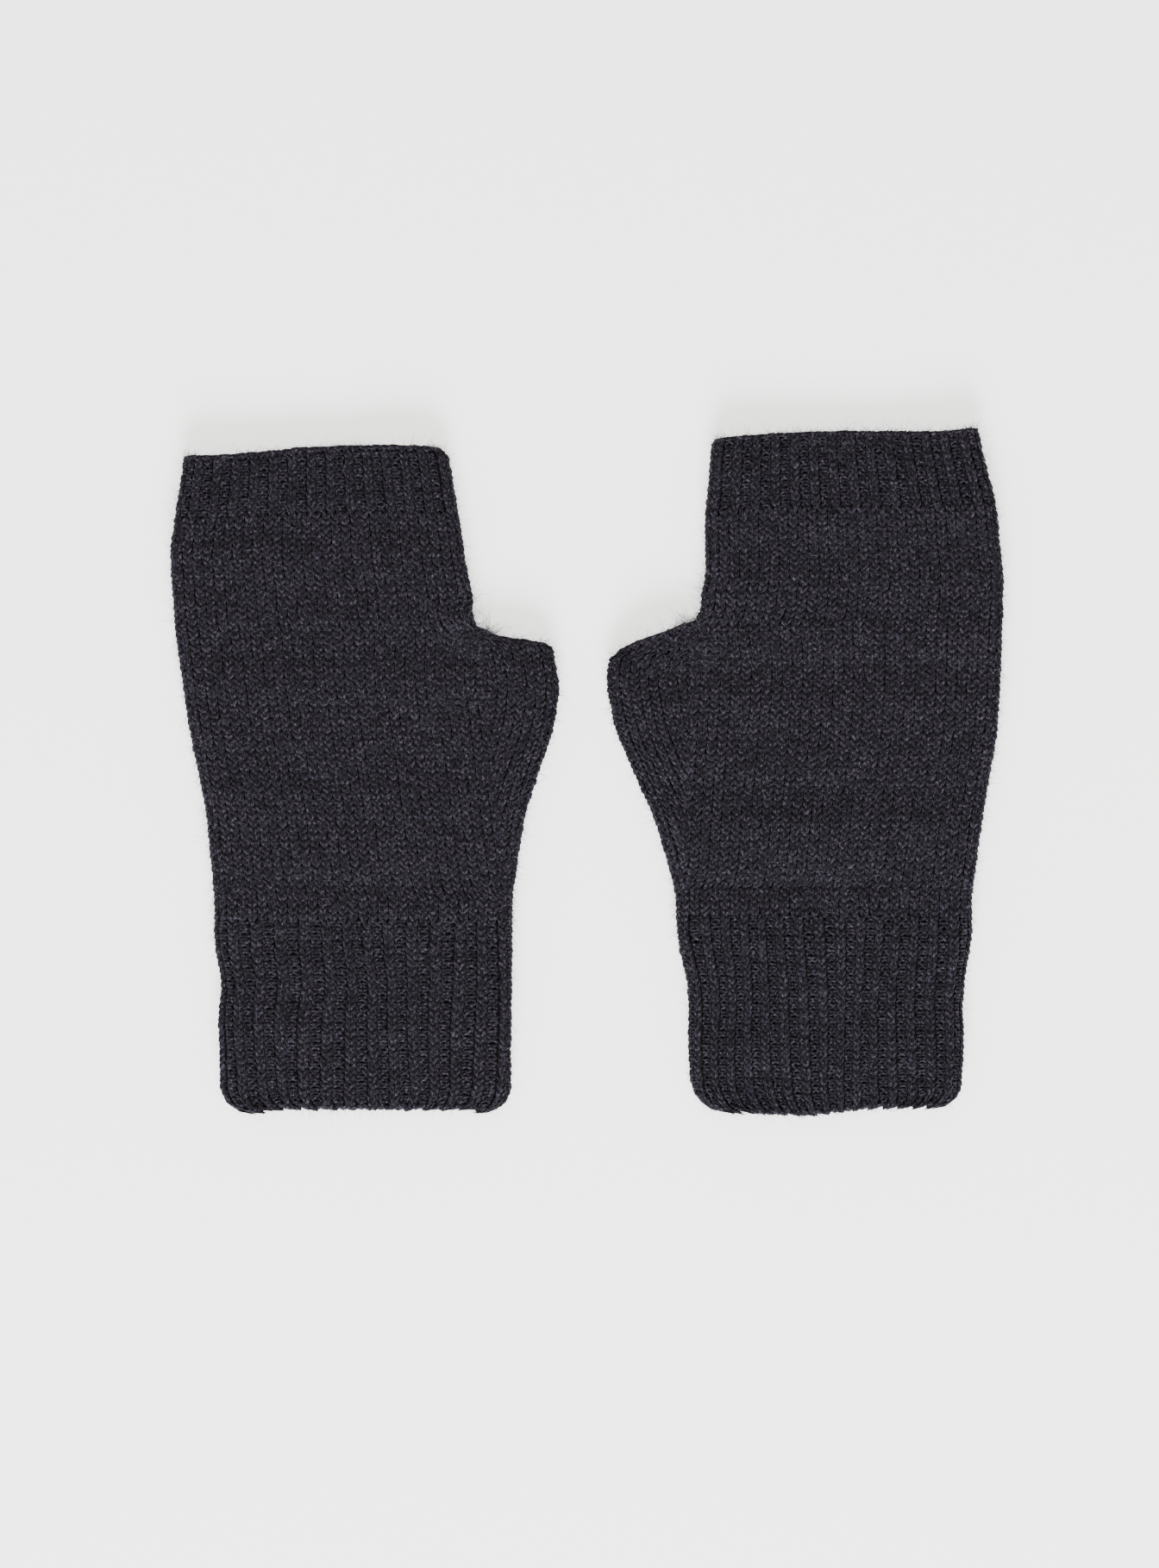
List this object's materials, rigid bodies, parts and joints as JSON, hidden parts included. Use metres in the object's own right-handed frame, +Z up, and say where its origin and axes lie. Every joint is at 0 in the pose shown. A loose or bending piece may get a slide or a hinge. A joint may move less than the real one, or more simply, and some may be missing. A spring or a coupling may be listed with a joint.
{
  "type": "fingerless gloves",
  "caption": "Pair of fingerless knitted gloves, laid flat, with ribbed cuffs, ribbed finger bands and short open thumbs on plain knitted hands.",
  "frame": {"origin": "centre of the pair's bounding box, on the surface that they lie on", "axes": "+X from the left-hand glove to the right-hand glove, +Y from the cuffs towards the fingers, +Z up, from the palms to the backs"},
  "size_m": [0.2412, 0.1986, 0.011],
  "materials": {
    "plain_knit": "matte charcoal wool yarn",
    "rib_knit": "matte charcoal wool yarn",
    "edge_knit": "matte charcoal wool yarn"
  },
  "bodies": {
    "left_hand": {"left_palm_panel": "plain_knit", "left_back_panel": "plain_knit", "left_finger_band": "rib_knit", "left_finger_edge": "edge_knit", "left_fork_join": "edge_knit", "left_thumb_gusset": "plain_knit", "left_wrist_knit": "plain_knit"},
    "left_wrist": {"left_cuff": "rib_knit", "left_cuff_edge": "edge_knit"},
    "left_thumb": {"left_thumb_stall": "plain_knit", "left_thumb_edge": "edge_knit"},
    "right_hand": {"right_palm_panel": "plain_knit", "right_back_panel": "plain_knit", "right_finger_band": "rib_knit", "right_finger_edge": "edge_knit", "right_fork_join": "edge_knit", "right_thumb_gusset": "plain_knit", "right_wrist_knit": "plain_knit"},
    "right_wrist": {"right_cuff": "rib_knit", "right_cuff_edge": "edge_knit"},
    "right_thumb": {"right_thumb_stall": "plain_knit", "right_thumb_edge": "edge_knit"}
  },
  "joints": [
    {"name": "left_wrist_bend", "type": "hinge", "parent": "left_hand", "child": "left_wrist", "pos_m": [-0.06438, -0.04325, 0.0055], "axis": [1, 0, 0], "range_deg": [-60, 60], "deforming": ["left_wrist_knit"]},
    {"name": "left_thumb_swing", "type": "hinge", "parent": "left_hand", "child": "left_thumb", "pos_m": [-0.026, -0.00125, 0.0055], "axis": [-0.1153, 0.9933, 0], "range_deg": [-35, 70], "deforming": ["left_thumb_gusset"]},
    {"name": "right_wrist_bend", "type": "hinge", "parent": "right_hand", "child": "right_wrist", "pos_m": [0.06863, -0.04175, 0.0055], "axis": [1, 0, 0], "range_deg": [-60, 60], "deforming": ["right_wrist_knit"]},
    {"name": "right_thumb_swing", "type": "hinge", "parent": "right_hand", "child": "right_thumb", "pos_m": [0.02825, 0.0005, 0.0055], "axis": [0.062, 0.9981, 0], "range_deg": [-70, 35], "deforming": ["right_thumb_gusset"]},
    {"name": "pair_apart", "type": "slide", "parent": "left_hand", "child": "right_hand", "axis": [1, 0, 0], "range_m": [-0.01, 0.1]}
  ]
}
